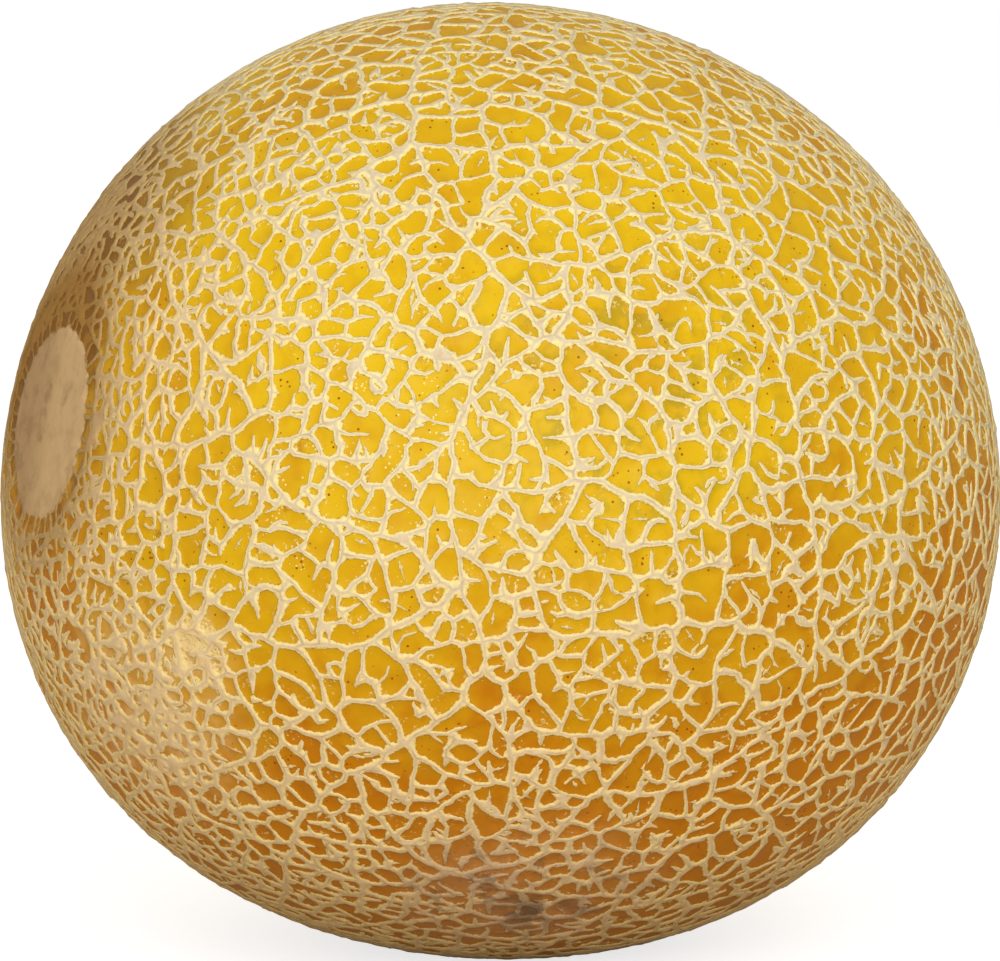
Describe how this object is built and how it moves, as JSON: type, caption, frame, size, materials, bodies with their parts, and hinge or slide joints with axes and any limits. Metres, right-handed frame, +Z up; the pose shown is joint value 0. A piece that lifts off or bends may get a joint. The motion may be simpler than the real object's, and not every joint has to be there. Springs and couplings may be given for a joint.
{
  "type": "galia melon",
  "caption": "Whole galia melon with corky netting over a golden rind, a round stalk scar at one end and a small flower scar at the other, resting on its side.",
  "frame": {"origin": "centre of the melon's footprint, on the surface that it rests on", "axes": "+Z up; +X from the stem end towards the blossom end, so the stalk scar faces -X and is tipped 10 degrees up; +Y completes the right-handed frame"},
  "size_m": [0.145, 0.142, 0.138],
  "materials": {
    "netted_rind": "satin golden rind under matt cream cork netting"
  },
  "bodies": {
    "root": {"melon": "netted_rind"}
  },
  "joints": []
}
